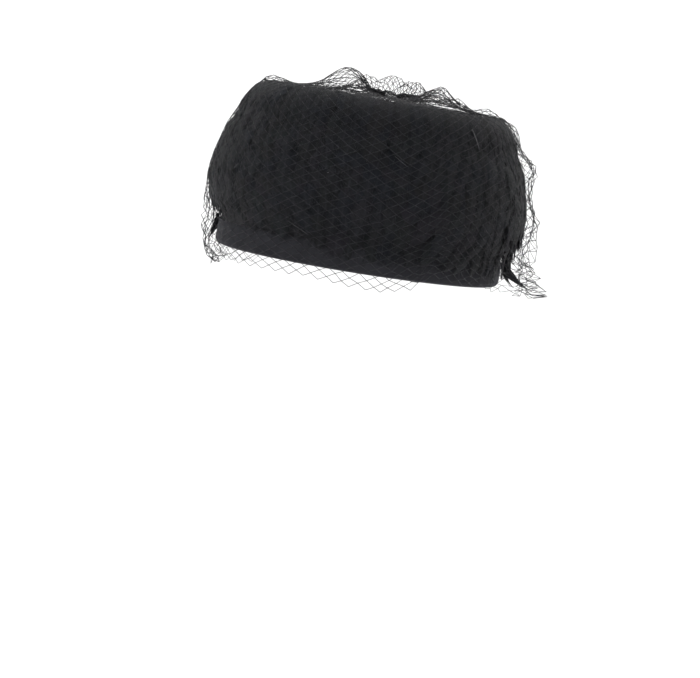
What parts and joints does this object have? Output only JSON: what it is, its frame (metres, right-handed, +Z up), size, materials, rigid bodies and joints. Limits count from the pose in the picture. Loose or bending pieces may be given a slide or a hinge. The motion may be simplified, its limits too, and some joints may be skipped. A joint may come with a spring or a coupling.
{
  "type": "pillbox hat",
  "caption": "Tall oval pillbox hat with a flat top and short overlapping black feathers, a plain rim band and a puffed diamond-mesh net veil.",
  "frame": {"origin": "centre of the head opening, in the plane of the rim", "axes": "+Z up through the crown, -Y to the front of the hat, +X to the wearer's left"},
  "size_m": [0.2147, 0.2352, 0.1344],
  "materials": {
    "felt": "matt wool felt",
    "velvet": "short-pile velvet",
    "feather": "dyed feather with a soft sheen",
    "net": "matt stiffened thread"
  },
  "bodies": {
    "root": {"crown": "felt", "crown_tip": "velvet", "head_band": "velvet", "feather_row_1": "feather", "feather_row_2": "feather", "feather_row_3": "feather", "feather_row_4": "feather", "feather_row_5": "feather", "side_feather_1": "feather", "side_feather_2": "feather", "side_feather_3": "feather", "side_feather_4": "feather", "veil": "net"}
  },
  "joints": []
}
